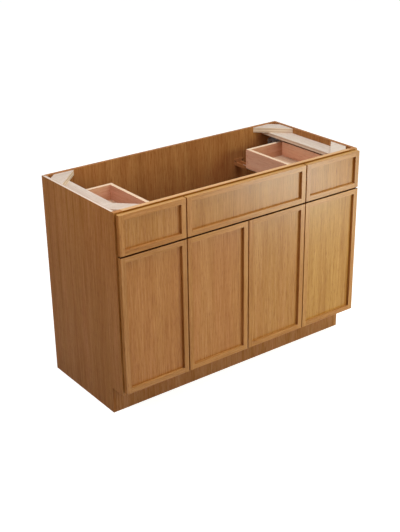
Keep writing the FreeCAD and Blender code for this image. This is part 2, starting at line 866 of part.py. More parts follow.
right_front_x = (column_left(columns - 1), column_right(columns - 1))
stiles, rails, panel = framed_front(right_front_x, upper_z, True)
box_front = box_end((box_front_y, box_inner_front_y), 1)
right_drawer = {
    "drawer_front_stiles": stiles,
    "drawer_front_rails": rails,
    "drawer_front_panel": [cut_all(panel, front_screws())],
    "drawer_box_ends": [cut_all(box_front, front_screws()), box_back()],
    "drawer_box_sides": [box_side(left_wall_x, 1), box_side(right_wall_x, 0)],
    "drawer_box_bottom": [box_bottom()],
    "drawer_front_screws": front_screws(),
    "drawer_latches": [latch(), other_slide(latch())],
    "slide_drawer_members": [drawer_member(), other_slide(drawer_member())],
    "slide_middle_members": [middle_member(), other_slide(middle_member())],
    "slide_glides": glides() + [other_slide(glide) for glide in glides()],
}
for name, pieces in right_drawer.items():
    save("right_" + name, *pieces)
    save("left_" + name, *[flip(piece) for piece in pieces])

right_members = [cabinet_member(), other_slide(cabinet_member())]
save("slide_cabinet_members", *(right_members + [flip(member) for member in right_members]))
right_brackets = [slide_bracket(), other_slide(slide_bracket())]
save("slide_rear_brackets", *(right_brackets + [flip(bracket) for bracket in right_brackets]))
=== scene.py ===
# %% [markdown]
# # A framed vanity base cabinet
# The cabinet is a plain box of stained veneered boards with a solid face frame on its front. Two
# drawers and a fixed false front lie above four slim-framed doors, and the top is open, so the
# raw strips, the corner blocks and the two drawer boxes show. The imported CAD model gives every
# board its size and place. This lesson gives them eased edges, grain, stain and metal.

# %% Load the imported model
import json
import math
import random

import bmesh
import bpy
from mathutils import Matrix, Vector


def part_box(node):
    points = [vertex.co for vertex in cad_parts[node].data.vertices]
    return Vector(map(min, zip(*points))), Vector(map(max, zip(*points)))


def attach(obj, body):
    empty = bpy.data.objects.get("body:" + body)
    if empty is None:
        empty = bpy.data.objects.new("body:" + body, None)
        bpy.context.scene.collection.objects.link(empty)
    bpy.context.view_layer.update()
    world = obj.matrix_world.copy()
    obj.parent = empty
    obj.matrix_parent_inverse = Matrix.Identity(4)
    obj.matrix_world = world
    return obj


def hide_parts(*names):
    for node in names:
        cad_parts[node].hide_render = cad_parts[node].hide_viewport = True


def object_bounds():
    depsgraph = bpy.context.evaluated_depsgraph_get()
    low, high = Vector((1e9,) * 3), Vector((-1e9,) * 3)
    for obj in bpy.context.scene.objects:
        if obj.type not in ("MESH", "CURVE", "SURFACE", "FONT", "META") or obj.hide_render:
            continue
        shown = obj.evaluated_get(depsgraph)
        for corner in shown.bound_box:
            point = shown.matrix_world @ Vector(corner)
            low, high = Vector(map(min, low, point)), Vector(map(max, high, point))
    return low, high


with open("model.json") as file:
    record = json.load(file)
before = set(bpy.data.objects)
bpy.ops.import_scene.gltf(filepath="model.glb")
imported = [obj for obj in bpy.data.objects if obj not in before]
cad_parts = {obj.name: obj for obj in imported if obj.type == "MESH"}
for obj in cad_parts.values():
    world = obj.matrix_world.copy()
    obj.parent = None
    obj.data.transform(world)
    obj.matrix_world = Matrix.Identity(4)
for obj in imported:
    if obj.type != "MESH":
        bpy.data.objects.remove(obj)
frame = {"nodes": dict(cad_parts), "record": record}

MM = 0.001
cad_low, cad_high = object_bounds()
cad_nodes = frame["nodes"]
body_of_node = {
    node: body
    for body, members in frame["record"]["behaviour"]["bodies"].items()
    for node in members
}
print("CAD nodes:", len(cad_nodes), "size in mm:", [round(v / MM, 1) for v in cad_high - cad_low])

# %% [markdown]
# ## Colours and nodes
# A stain chart gives colours as a screen shows them, so each one is written as a hex value and
# turned to linear light by one function. Shader trees could be clicked together in the editor,
# but a script builds the same tree each time. One helper adds a node with its settings, its
# links and, for a colour ramp, its stops.

# %% Helpers for colours and shader nodes
def linear(hex_colour):
    """An sRGB hex colour as linear red, green, blue and alpha."""
    channels = [int(hex_colour[i:i + 2], 16) / 255 for i in (1, 3, 5)]
    return [c / 12.92 if c <= 0.04045 else ((c + 0.055) / 1.055) ** 2.4 for c in channels] + [1.0]


def add(tree, kind, sockets=None, stops=(), **settings):
    """A new node. A socket is given a value or an output to link to, a colour ramp its stops."""
    node = tree.nodes.new(kind)
    for name, value in settings.items():
        setattr(node, name, value)
    for name, value in (sockets or {}).items():
        if isinstance(value, bpy.types.NodeSocket):
            tree.links.new(value, node.inputs[name])
        else:
            node.inputs[name].default_value = value
    if stops:
        elements = node.color_ramp.elements
        while len(elements) < len(stops):
            elements.new(1.0)
        for element, (position, colour) in zip(elements, stops):
            element.position = position
            element.color = linear(colour)
    return node


def new_material(name):
    """An empty material, its tree and its output node."""
    material = bpy.data.materials.new(name)
    material.use_nodes = True
    material.node_tree.nodes.clear()
    return material, material.node_tree, add(material.node_tree, "ShaderNodeOutputMaterial")


print("a middle honey stain in linear light:", [round(c, 3) for c in linear("#B47F45")[:3]])

# %% [markdown]
# ## Grain
# Sawn boards and sliced veneer have a grain that runs one way. Seen from a step away it is broad
# soft bands, fine streaks inside them, and short dark pores. A picture of wood would do, but
# noise stretched along the grain needs no picture and runs on round every edge of a board, so
# its end matches its face. Each board adds its own number to the coordinates, so no two are alike.

# %% The coordinates and the streaks of a board
TURN_TO_GRAIN = {"X": (0, math.radians(90), 0), "Y": (math.radians(90), 0, 0), "Z": (0, 0, 0)}


def grain_coordinates(tree, along):
    """Object coordinates turned so that their Z runs along the grain, shifted for each board."""
    place = add(tree, "ShaderNodeTexCoord").outputs["Object"]
    turned = add(tree, "ShaderNodeMapping", {"Vector": place, "Rotation": TURN_TO_GRAIN[along]})
    board = add(tree, "ShaderNodeAttribute", attribute_name="board").outputs["Fac"]
    shift = add(tree, "ShaderNodeVectorMath", {0: board, 1: (3.7, 5.9, 2.3)}, operation="MULTIPLY")
    moved = add(tree, "ShaderNodeVectorMath", {0: turned.outputs[0], 1: shift.outputs[0]}, operation="ADD")
    return moved.outputs[0], board


def stretched_noise(tree, place, across_mm, along_mm, detail, roughness=0.5):
    """Noise whose spots are across_mm wide and along_mm long."""
    scale = (1 / (across_mm * MM), 1 / (across_mm * MM), 1 / (along_mm * MM))
    spots = add(tree, "ShaderNodeVectorMath", {0: place, 1: scale}, operation="MULTIPLY")
    sockets = {"Vector": spots.outputs[0], "Scale": 1.0, "Detail": detail, "Roughness": roughness}
    return add(tree, "ShaderNodeTexNoise", sockets).outputs["Fac"]


def mixed(tree, parts):
    """The sum of (value, share) pairs."""
    total = None
    for value, share in parts:
        part = add(tree, "ShaderNodeMath", {0: value, 1: share}, operation="MULTIPLY").outputs[0]
        if total is None:
            total = part
        else:
            total = add(tree, "ShaderNodeMath", {0: total, 1: part}, operation="ADD").outputs[0]
    return total


print("grain directions:", ", ".join(TURN_TO_GRAIN))

# %% [markdown]
# ## Stained and lacquered wood
# The fronts and the face frame are a fine-grained hardwood, wiped with a honey stain and sprayed
# with a satin lacquer. The stain darkens the pores, the lacquer rounds them off and gives a soft
# sheen. A panel is a shade deeper than its frame. The fronts' colours also follow the light across
# the cabinet: the two left doors' panels are redder and a little darker as painted shade, the last
# one's paler and more golden as a painted sheen, and the frames of the first door and of the right
# drawer front darker as painted shade. The narrow side faces of the boards get little lacquer and
# stay matt, and they are painted darker as their shade. The lip under a panel is painted paler to
# lift the shade in its recess. The top edges of the upper fronts and of the face frame are painted
# paler as the highlight of the light from above, and the front of the frame's top rail, between
# them, is painted deep brown as the shade there. The case is veneered board with a browner stain
# and hardly any sheen. Separate shaders for each would repeat the same grain, so one function
# makes them all. They differ only in colour and in how shiny they are.

# %% Long grain
ROUGHNESS_SPREAD = 0.08
# An eased edge is painted a little paler, as a highlight along the edge.
EDGE_HIGHLIGHT_COLOUR = "#F2D2A4"
EDGE_HIGHLIGHT_SHARE = 0.12


def wood(name, along, stops, zone_shade, pore_shade, rough, gloss):
    """Long grain: bands, streaks and pores under a finish. gloss is the specular level."""
    material, tree, output = new_material(name)
    place, board = grain_coordinates(tree, along)
    # Growth bands are a few centimetres wide and run most of a board's length. The streaks inside
    # them are some millimetres wide and as long as a hand.
    bands = stretched_noise(tree, place, 34, 900, 3)
    streaks = stretched_noise(tree, place, 5, 150, 6, 0.68)
    # Real pores are 0.1 mm wide. They are drawn wider, or they would not show.
    pores = stretched_noise(tree, place, 1.3, 32, 2)
    figure = mixed(tree, [(bands, 0.30), (streaks, 0.64), (board, 0.06)])
    colour = add(tree, "ShaderNodeValToRGB", {"Fac": figure}, stops).outputs["Color"]
    # The stain lay longer on some zones, wider than the bands.
    wide_spots = stretched_noise(tree, place, 62, 700, 1)
    sockets = {"Value": wide_spots, "From Min": 0.40, "From Max": 0.66, "To Max": 0.2}
    zones = add(tree, "ShaderNodeMapRange", sockets).outputs[0]
    sockets = {"Value": pores, "From Min": 0.56, "From Max": 0.76}
    pore_depth = add(tree, "ShaderNodeMapRange", sockets).outputs[0]
    for amount, shade in ((zones, zone_shade), (pore_depth, pore_shade)):
        sockets = {0: amount, 6: colour, 7: linear(shade)}
        colour = add(tree, "ShaderNodeMix", sockets, data_type="RGBA", blend_type="MULTIPLY").outputs[2]
    rim = add(tree, "ShaderNodeAttribute", attribute_name="rim").outputs["Fac"]
    sockets = {0: mixed(tree, [(rim, EDGE_HIGHLIGHT_SHARE)]), 6: colour, 7: linear(EDGE_HIGHLIGHT_COLOUR)}
    colour = add(tree, "ShaderNodeMix", sockets, data_type="RGBA").outputs[2]
    sockets = {"Value": streaks, "To Min": rough - ROUGHNESS_SPREAD, "To Max": rough + ROUGHNESS_SPREAD}
    roughness = add(tree, "ShaderNodeMapRange", sockets).outputs[0]
    relief = mixed(tree, [(streaks, 0.6), (pore_depth, -0.8)])
    bump = add(tree, "ShaderNodeBump", {"Height": relief, "Strength": 0.12, "Distance": 0.15 * MM})
    shader = add(tree, "ShaderNodeBsdfPrincipled",
                 {"Base Color": colour, "Roughness": roughness, "IOR": 1.5, "Specular IOR Level": gloss,
                  "Normal": bump.outputs[0]})
    tree.links.new(shader.outputs[0], output.inputs[0])
    return material


print("an eased edge shows", EDGE_HIGHLIGHT_SHARE, "of the bare wood's colour")

# %% [markdown]
# ## The stains
# Stained wood shows dark and pale streaks side by side. Each list goes from the darkest streak
# to the palest. The lists could be worked out from one base colour, but the dark streaks of a
# real stain are redder than the pale ones, so each is written out. The pale raw birch and the
# drawers' birch are lists too.

# %% Colours from the darkest streak to the palest
FRAME = [(0.34, "#986023"), (0.46, "#AA7436"), (0.54, "#B47F45"), (0.68, "#C3905A")]
MUTED_PAINTED_SHADE = [(0.34, "#925C22"), (0.46, "#A46F35"), (0.54, "#AE7A44"), (0.68, "#BC8A5B")]
HONEY = [(0.34, "#925B17"), (0.46, "#A46F2F"), (0.54, "#AE7A3E"), (0.68, "#BD8B56")]
AMBER_PAINTED_SHADE = [(0.34, "#92581B"), (0.46, "#A46B30"), (0.54, "#AE763D"), (0.68, "#BD8752")]
GOLDEN_PAINTED_SHEEN = [(0.34, "#96601B"), (0.46, "#A87631"), (0.54, "#B2813E"), (0.68, "#C29353")]
VENEER = [(0.34, "#89562B"), (0.46, "#9F6A3C"), (0.54, "#AA7545"), (0.68, "#BA8653")]
BROWN = [(0.34, "#8B5714"), (0.46, "#9F6932"), (0.54, "#AA7340"), (0.68, "#B9845A")]
SHADED = [(0.34, "#8A5424"), (0.46, "#9C6632"), (0.54, "#A5703C"), (0.68, "#B48048")]
LIP_PAINTED_LIGHT = [(0.34, "#A06E3A"), (0.46, "#B07E48"), (0.54, "#B98851"), (0.68, "#C69760")]
TOE_PAINTED_SHADE = [(0.34, "#84521C"), (0.46, "#986539"), (0.54, "#A26F47"), (0.68, "#B07E5E")]
EDGE_PAINTED_HIGHLIGHT = [(0.34, "#AC8250"), (0.46, "#B98F5C"), (0.54, "#C09866"), (0.68, "#CAA477")]
FRONT_EDGE_PAINTED_HIGHLIGHT = [(0.34, "#9D743C"), (0.46, "#A97F46"), (0.54, "#AF874E"), (0.68, "#B9935B")]
DEEP_PAINTED_SHADE = [(0.34, "#814A14"), (0.46, "#915A1C"), (0.54, "#996323"), (0.68, "#A6702D")]
CREAM = [(0.34, "#AEA197"), (0.46, "#BBAFA6"), (0.54, "#C4BAB2"), (0.68, "#CEC7C2")]
BIRCH_AND_PAINTED_SHADE = {"left_X": [(0.34, "#C08D70"), (0.46, "#CC9D7F"), (0.54, "#D3A68A"), (0.68, "#DBB298")],
         "left_Y": [(0.34, "#BA836A"), (0.46, "#C79379"), (0.54, "#CE9C84"), (0.68, "#D6A892")],
         "right_X": [(0.34, "#B27F62"), (0.46, "#BE8F72"), (0.54, "#C5987D"), (0.68, "#CDA38B")],
         "right_Y": [(0.34, "#E1A98A"), (0.46, "#E9B899"), (0.54, "#EEC1A4"), (0.68, "#F2CCB3")]}
BOX_PLY = [(0.34, "#B69A80"), (0.46, "#C5AA91"), (0.54, "#CFB59F"), (0.68, "#DAC3B0")]
SEALED_PAINTED_LIGHT = [(0.34, "#E6B294"), (0.46, "#EEC0A4"), (0.54, "#F4CAAF"), (0.68, "#FAD6BE")]

print("the honey stain goes from", HONEY[0][1], "to", HONEY[-1][1])

# %% [markdown]
# ## The finishes
# The same stain looks different under another finish. Sprayed lacquer gives a soft highlight
# that moves along a board, a rubbed edge is wider in its shine, and dry veneer hardly shines at
# all. Each finish is a roughness and a specular level, used again for every board that has it.
# A second glossy coat over the wood could be added to the shader, but at this distance it can't
# be told from one layer.

# %% The wood materials
WARM_ZONE = "#E6BC98"
STAINED_PORE = "#C0946A"
# Roughness and specular level.
LACQUERED = (0.32, 0.27)
RUBBED = (0.42, 0.3)
WIPED = (0.5, 0.1)
DRY = (0.55, 0.08)

# Maple under sprayed lacquer: warm, fine-grained, with a soft highlight.
honey = {a: wood("honey_stained_maple_" + a, a, FRAME, WARM_ZONE, STAINED_PORE, *LACQUERED) for a in "XZ"}
# The muted frames and amber panels are darker and redder as painted shade, and the golden panel is paler as a
# painted sheen, so that the fronts follow the light across the cabinet.
muted_painted_shade = {a: wood("muted_painted_shade_maple_" + a, a, MUTED_PAINTED_SHADE, WARM_ZONE, STAINED_PORE, *LACQUERED) for a in "XZ"}
honey_panel = wood("honey_stained_maple_panel", "Z", HONEY, WARM_ZONE, STAINED_PORE, *LACQUERED)
amber_panel_painted_shade = wood("amber_stained_maple_panel", "Z", AMBER_PAINTED_SHADE, WARM_ZONE, STAINED_PORE, *LACQUERED)
golden_panel_painted_sheen = wood("golden_stained_maple_panel", "Z", GOLDEN_PAINTED_SHEEN, "#E6C49E", "#C49C72", *LACQUERED)
# Sliced veneer on sheet board: browner and nearly matt.
veneer = {a: wood("honey_stained_veneer_" + a, a, VENEER, WARM_ZONE, STAINED_PORE, *DRY) for a in "XZ"}
side_veneer = wood("brown_stained_veneer", "Z", BROWN, WARM_ZONE, "#B4845A", *DRY)
# Painted shade: the toe board stands back under the cabinet and is a darker copy of the veneer.
painted_shade_toe_veneer = wood("brown_toe_veneer_painted_shade", "Z", TOE_PAINTED_SHADE, WARM_ZONE, STAINED_PORE, *DRY)
# Narrow side faces with hardly any lacquer: matt, and painted a little darker than the fronts as their shade.
matt_side_painted_shade = wood("matt_painted_shade_maple_Z", "Z", SHADED, WARM_ZONE, STAINED_PORE, 0.6, 0.08)
# Painted light: the lip under a panel is paler to lift the shade in its recess, and the top edges
# are paler as the highlight of the light from above.
painted_light_lip = wood("painted_light_lip_maple", "X", LIP_PAINTED_LIGHT, WARM_ZONE, STAINED_PORE, *WIPED)
painted_highlight_rail_top = wood("painted_highlight_rail_edge", "X", EDGE_PAINTED_HIGHLIGHT, "#E8C8A0", "#D2B08A", *RUBBED)
painted_highlight_front_top = wood("painted_highlight_front_edge", "X", FRONT_EDGE_PAINTED_HIGHLIGHT, "#E8C8A0", "#D2B08A", *RUBBED)
# Painted shade: the front of the top rail, in the shade between the rim and the fronts, is deep brown.
painted_shade_rail_front = wood("painted_shade_rail_maple", "X", DEEP_PAINTED_SHADE, WARM_ZONE, STAINED_PORE, *WIPED)
# Birch plywood as it comes from the saw: cream, dry and without a sheen.
cream = {a: wood("raw_birch_" + a, a, CREAM, "#F0D6CC", "#DCC4B0", 0.62, 0.3) for a in "XY"}
# Birch of the drawers under clear lacquer: pink-brown, darker in the left box and on the ends as painted
# shade inside the boxes.
birch_and_painted_shade = {board: wood("lacquered_birch_painted_shade_" + board, board[-1], stops, "#E8B8A0", "#D4AA8E", *RUBBED)
         for board, stops in BIRCH_AND_PAINTED_SHADE.items()}
box_ply = wood("thin_birch_plywood", "Y", BOX_PLY, "#E8D0BC", "#D4BCA2", 0.5, 0.2)
# The outsides: sealed and duller, and painted paler as the light that falls on them.
sealed_birch_painted_light = wood("sealed_birch_outside_painted_light", "Y", SEALED_PAINTED_LIGHT, "#F0CCB8", "#E4C4AC", 0.6, 0.2)
print("wood materials:", len(bpy.data.materials))

# %% [markdown]
# ## Ends and edges
# A cut across the grain drinks more stain, so it is darker and shows dots instead of streaks.
# The tops of the doors are painted nearly black as the shade in the gap above them, which reads
# as one dark brown line. The edge of a sheet of plywood shows its plies, thin sheets glued with
# the grain turned each time. Both could be separate thin pieces, but a second material on the
# faces that point that way is simpler and stays true when the board is moved.

# %% End grain and plywood edges
def end_grain(name, dark, light, rough):
    """Dots and soft rings, as a saw leaves them."""
    material, tree, output = new_material(name)
    place = add(tree, "ShaderNodeTexCoord").outputs["Object"]
    dots = stretched_noise(tree, place, 1.4, 1.4, 3, 0.6)
    clouds = stretched_noise(tree, place, 14, 14, 2)
    spots = mixed(tree, [(dots, 0.6), (clouds, 0.4)])
    stops = [(0.38, dark), (0.62, light)]
    colour = add(tree, "ShaderNodeValToRGB", {"Fac": spots}, stops).outputs["Color"]
    bump = add(tree, "ShaderNodeBump", {"Height": dots, "Strength": 0.3, "Distance": 0.2 * MM})
    shader = add(tree, "ShaderNodeBsdfPrincipled",
                 {"Base Color": colour, "Roughness": rough, "IOR": 1.5, "Specular IOR Level": 0.1,
                  "Normal": bump.outputs[0]})
    tree.links.new(shader.outputs[0], output.inputs[0])
    return material


def ply_edge(name, across, ply_mm, start_mm, dark, light):
    """Stripes along the edge of a sheet. across is the axis of its thickness."""
    material, tree, output = new_material(name)
    place = add(tree, "ShaderNodeTexCoord").outputs["Object"]
    distance = add(tree, "ShaderNodeSeparateXYZ", {0: place}).outputs[across]
    wander = stretched_noise(tree, place, 30, 30, 2)
    plies = add(tree, "ShaderNodeMath", {0: distance, 1: -start_mm * MM}, operation="ADD").outputs[0]
    plies = add(tree, "ShaderNodeMath", {0: plies, 1: 1 / (2 * ply_mm * MM)}, operation="MULTIPLY").outputs[0]
    plies = mixed(tree, [(plies, 1.0), (wander, 0.12)])
    phase = add(tree, "ShaderNodeMath", {0: plies, 1: 1.0}, operation="PINGPONG").outputs[0]
    fibres = stretched_noise(tree, place, 1.2, 1.2, 4, 0.7)
    stripe = add(tree, "ShaderNodeMapRange", {"Value": phase, "From Min": 0.42, "From Max": 0.58}).outputs[0]
    spots = mixed(tree, [(stripe, 0.7), (fibres, 0.3)])
    stops = [(0.1, dark), (0.85, light)]
    colour = add(tree, "ShaderNodeValToRGB", {"Fac": spots}, stops).outputs["Color"]
    bump = add(tree, "ShaderNodeBump", {"Height": fibres, "Strength": 0.3, "Distance": 0.2 * MM})
    shader = add(tree, "ShaderNodeBsdfPrincipled",
                 {"Base Color": colour, "Roughness": 0.7, "IOR": 1.5, "Normal": bump.outputs[0]})
    tree.links.new(shader.outputs[0], output.inputs[0])
    return material


honey_end = end_grain("honey_stained_end_grain", "#8A5A30", "#B07C49", 0.5)
# Painted shade: the doors' top edges are nearly black, as the shade in the gap above them.
soaked_end = end_grain("stain_soaked_end_grain", "#3C1E06", "#4E2A0C", 0.6)
veneer_end = end_grain("honey_stained_veneer_edge", "#7C4C26", "#A06C3C", 0.55)
birch_end = end_grain("drawer_birch_end_grain", "#D2987A", "#F0BA9C", 0.5)
pale_edge = end_grain("sanded_drawer_edge", "#D0B59D", "#DBC8B2", 0.5)
# Painted shade: the tops of the drawer sides that run under the strips.
painted_shade_box_edge = end_grain("painted_shade_drawer_edge", "#74482E", "#865638", 0.6)
strip_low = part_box("top_strips")[0].z / MM
side_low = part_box("side_panels")[0].x / MM
strip_edge = ply_edge("birch_plywood_edge_Z", "Z", 2.65, strip_low, "#C4AA94", "#E4D3C0")
side_edge = ply_edge("birch_plywood_edge_X", "X", 2.54, side_low, "#B5A294", "#CDC2BC")
print("the strips' plies start at", round(strip_low, 2), "mm")

# %% [markdown]
# ## Boards with eased edges
# Nothing sawn keeps a knife edge: a sander takes off half a millimetre, and that thin bevel is
# what catches the light. The CAD boards are sharp. A Bevel modifier could ease them, but it
# can't leave out the inward corners or mark the new faces for a painted highlight. So a copy of
# each board is merged from loose triangles into clean faces, and its outward edges are bevelled
# in a bmesh.

# %% Merge, number and ease a board
EASE_MM = 0.5
SAME_PLACE = 0.005 * MM
FLAT_ANGLE = math.radians(1)
SHARP_ANGLE = math.radians(40)
# Shorter edges, such as those of holes, bends and dovetails, stay as they are cut.
SHORTEST_EASED = 9 * MM


def merged_copy(node):
    """A bmesh of a CAD node, its triangles merged into whole faces."""
    mesh = bmesh.new()
    mesh.from_mesh(cad_nodes[node].data)
    bmesh.ops.remove_doubles(mesh, verts=mesh.verts, dist=SAME_PLACE)
    bmesh.ops.dissolve_limit(mesh, angle_limit=FLAT_ANGLE, verts=mesh.verts, edges=mesh.edges)
    return mesh


def islands(mesh):
    """The separate solids of a bmesh, as lists of vertices, in the order of the mesh."""
    left = set(mesh.verts)
    found = []
    for first in mesh.verts:
        if first not in left:
            continue
        left.remove(first)
        stack = [first]
        island = []
        while stack:
            vertex = stack.pop()
            island.append(vertex)
            near = [edge.other_vert(vertex) for edge in vertex.link_edges]
            near = [other for other in near if other in left]
            left.difference_update(near)
            stack.extend(near)
        found.append(island)
    return found


def number_boards(mesh, node):
    """Give each solid a number of its own, which its grain is shifted by."""
    dice = random.Random(node)
    layer = mesh.faces.layers.float.new("board")
    solids = sorted(islands(mesh), key=lambda island: tuple(min(v.co[i] for v in island) for i in range(3)))
    for solid in solids:
        number = dice.random()
        for vertex in solid:
            for polygon in vertex.link_faces:
                polygon[layer] = number


def ease(mesh, width_mm):
    """Bevel the outward edges that are long enough. Returns the new narrow faces."""
    layer = mesh.faces.layers.float.new("rim")
    edges = [edge for edge in mesh.edges
             if edge.is_manifold and edge.calc_face_angle_signed() > SHARP_ANGLE
             and edge.calc_length() > SHORTEST_EASED]
    made = bmesh.ops.bevel(mesh, geom=edges, offset=width_mm * MM, offset_type="OFFSET", segments=2,
                           profile=0.5, affect="EDGES", clamp_overlap=True, material=-1)
    for polygon in made["faces"]:
        polygon.smooth = True
        polygon[layer] = 1.0
    return set(made["faces"])


print("a bevel of", EASE_MM, "millimetres is", EASE_MM * MM, "metres in the scene")

# %% [markdown]
# A finished board is shown instead of its CAD node and rides on the same body. It could be cut
# into a piece for each material, but it stays whole, and each of its faces is given the long
# grain, the end grain or a special finish by the way it points.

# %% Show a finished board
AXES = {"X": Vector((1, 0, 0)), "Y": Vector((0, 1, 0)), "Z": Vector((0, 0, 1))}
# The least cosine between a face's normal and the axis that it points along.
FACING = 0.9


def show_instead(mesh, node, materials):
    """Turn a bmesh into the piece that stands for a CAD node."""
    data = bpy.data.meshes.new(node + "_finished")
    mesh.to_mesh(data)
    mesh.free()
    piece = bpy.data.objects.new(node + "_finished", data)
    bpy.context.scene.collection.objects.link(piece)
    for material in materials:
        data.materials.append(material)
    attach(piece, body_of_node[node])
    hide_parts(node)
    return piece


def points_up(polygon):
    return polygon.normal.z > FACING


def is_upright(polygon):
    return abs(polygon.normal.z) < 1 - FACING


def points_aside(polygon):
    return abs(polygon.normal.x) > FACING


def points_forward(polygon):
    return polygon.normal.y < -FACING


def finish_board(node, face, end, grain, special=(), width_mm=EASE_MM):
    """Ease a board and give its faces their materials. special holds (test, material) pairs."""
    mesh = merged_copy(node)
    number_boards(mesh, node)
    narrow = ease(mesh, width_mm)
    for polygon in mesh.faces:
        if polygon in narrow:
            continue
        picked = [2 + i for i, (test, material) in enumerate(special) if test(polygon)]
        if picked:
            polygon.material_index = picked[0]
        elif abs(polygon.normal.dot(AXES[grain])) > FACING:
            polygon.material_index = 1
    return show_instead(mesh, node, [face, end] + [material for test, material in special])


print("a face may lean", round(math.degrees(math.acos(FACING))), "degrees and still point along an axis")

# %% [markdown]
# ## The case
# The sides, back, deck and toe board are thin veneered boards. Their faces are stained, the outer
# ones of the sides a little browner. The left side's top edge is left raw, because a worktop
# hides it, and the right side's has taken stain. The grain of the sides, the back and the toe
# board stands up, and that of the deck runs along the cabinet. They could be modelled again as
# plain boxes, but the CAD boards carry the dados and the notch, so those are finished instead.

# %% Finish the case
def is_raw_top(polygon):
    return points_up(polygon) and polygon.calc_center_median().x < 0


def points_out(polygon):
    return points_aside(polygon) and polygon.normal.x * polygon.calc_center_median().x > 0


side_faces = [(is_raw_top, side_edge), (points_out, side_veneer)]
finish_board("side_panels", veneer["Z"], veneer_end, "Z", side_faces)
finish_board("back_panel", veneer["Z"], veneer_end, "Z")
finish_board("deck_panel", veneer["X"], veneer_end, "X")
finish_board("toe_board", painted_shade_toe_veneer, veneer_end, "Z")
print("side panels, back, deck and toe board finished")

# %% [markdown]
# ## The strips and the corner blocks
# Both are offcuts of raw birch plywood, glued and stapled inside the top rim to hold the worktop.
# They are cream, without stain or lacquer, and their edges show the plies. A real sheet has five
# to seven plies. They could be glued up from thin boards here too, but stripes on the upright
# faces are enough, since nothing is cut through them.

# %% Finish the strips and blocks
finish_board("top_strips", cream["Y"], strip_edge, "Y", [(is_upright, strip_edge)], 0.4)
finish_board("corner_blocks", cream["X"], strip_edge, "X", [(is_upright, strip_edge)], 0.4)
print("strips and corner blocks finished")

# %% [markdown]
# ## The face frame
# Solid stiles, mullions and rails make the frame that the doors and drawers close against. The
# grain of each runs along it. One mesh could hold the whole frame, but separate boards let the
# grain turn at each joint, as it does where a rail meets a stile.

# %% Finish the face frame
finish_board("frame_end_stiles", honey["Z"], honey_end, "Z", [(points_out, side_veneer)])
finish_board("frame_mullions", honey["Z"], honey_end, "Z", [(points_aside, matt_side_painted_shade)])
# Painted highlight on the top rail's top face, painted shade on its front face.
rail_faces = [(points_up, painted_highlight_rail_top), (points_forward, painted_shade_rail_front)]
finish_board("frame_top_rail", honey["X"], honey_end, "X", rail_faces)
for node in ("frame_bottom_rail", "frame_mid_rails"):
    finish_board(node, honey["X"], honey_end, "X")
print("face frame finished")

# %% [markdown]
# ## The doors, the false front and the drawer fronts
# Each is a slim frame round a flat panel. All the panels have upright grain, also the wide false
# front's, so that the figure runs on from the fronts above to the doors below. The tone of each
# front could come from chance, but here it is listed, because neighbours show it most.

# %% Finish the fronts
FRONT_TOPS = [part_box(node)[1].z / MM for node in ("door_1_stiles", "left_drawer_front_stiles")]


def is_outer_top(polygon):
    """Whether a rail's face is the top of the whole front, not the one that holds the panel."""
    height = polygon.calc_center_median().z / MM
    return points_up(polygon) and min(abs(height - top) for top in FRONT_TOPS) < 1


fronts = ["door_1", "door_2", "door_3", "door_4", "false_front", "left_drawer_front", "right_drawer_front"]
# Set per front: painted shade on the left doors, a painted sheen on the last one.
tone_for_light = {"door_1": amber_panel_painted_shade, "door_2": amber_panel_painted_shade, "door_4": golden_panel_painted_sheen}
for front in fronts:
    # Painted shade on the doors' tops and on the side faces, a painted highlight on the upper fronts' tops,
    # and painted light on the lips under the panels.
    top = soaked_end if front.startswith("door") else painted_highlight_front_top
    sides = (points_aside, matt_side_painted_shade)
    boards = muted_painted_shade if front in ("door_1", "right_drawer_front") else honey
    rail_faces = [(is_outer_top, top), (points_up, painted_light_lip)]
    finish_board(front + "_stiles", boards["Z"], honey_end, "Z", [(points_up, top), sides], 0.4)
    finish_board(front + "_rails", boards["X"], honey_end, "X", rail_faces, 0.4)
    panel_face = tone_for_light.get(front, honey_panel)
    finish_board(front + "_panel", panel_face, honey_end, "Z", width_mm=0.3)
print("fronts finished:", len(fronts))

# %% [markdown]
# ## The drawer boxes
# Dovetailed boxes of reddish clear-lacquered birch on a floor of thin greyer plywood. Each board
# has its own tone, and the left box and the ends are darker as painted shade inside the boxes. The
# outsides are only sealed, so they look dull, and they are painted paler as the light that falls on
# them. The top edges are sanded after the lacquer of the faces, so they are the palest line on the
# cabinet. The tops of the outermost sides run under the strips and are painted dark as the shade
# there. The ends of the tails and pins are end grain, which is what makes the joint show.

# %% Finish the drawer boxes
box_limits = [abs(corner.x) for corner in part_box("right_drawer_box_sides")]
MORE_THAN_A_BOARD = 20 * MM


def is_box_outside(polygon):
    reach = abs(polygon.calc_center_median().x)
    return points_aside(polygon) and min(abs(reach - limit) for limit in box_limits) < MM


def is_outer_top_edge(polygon):
    """The top of the side next to the cabinet's side."""
    return points_up(polygon) and abs(polygon.calc_center_median().x) > max(box_limits) - MORE_THAN_A_BOARD


for side in ("left_", "right_"):
    along, across = birch_and_painted_shade[side + "Y"], birch_and_painted_shade[side + "X"]
    # Painted shade on the tops under the strips, painted light on the outsides.
    faces = [(is_outer_top_edge, painted_shade_box_edge), (points_up, pale_edge), (is_box_outside, sealed_birch_painted_light)]
    finish_board(side + "drawer_box_sides", along, birch_end, "Y", faces)
    finish_board(side + "drawer_box_ends", across, birch_end, "X", [(points_up, pale_edge)])
    finish_board(side + "drawer_box_bottom", box_ply, birch_end, "Y")
print("drawer boxes finished")

# %% [markdown]
# ## Metal and plastic
# The hinges, slides, clips and angles are pressed from zinc-plated sheet: a dull blue-grey metal
# with faint clouds where the plating is thicker. A plain metal shader would look like chrome, so
# clouds and rolling lines vary its roughness. The glides and latches are moulded nylon, with a
# fine moulded grain, and the rear sockets are the same in brown.

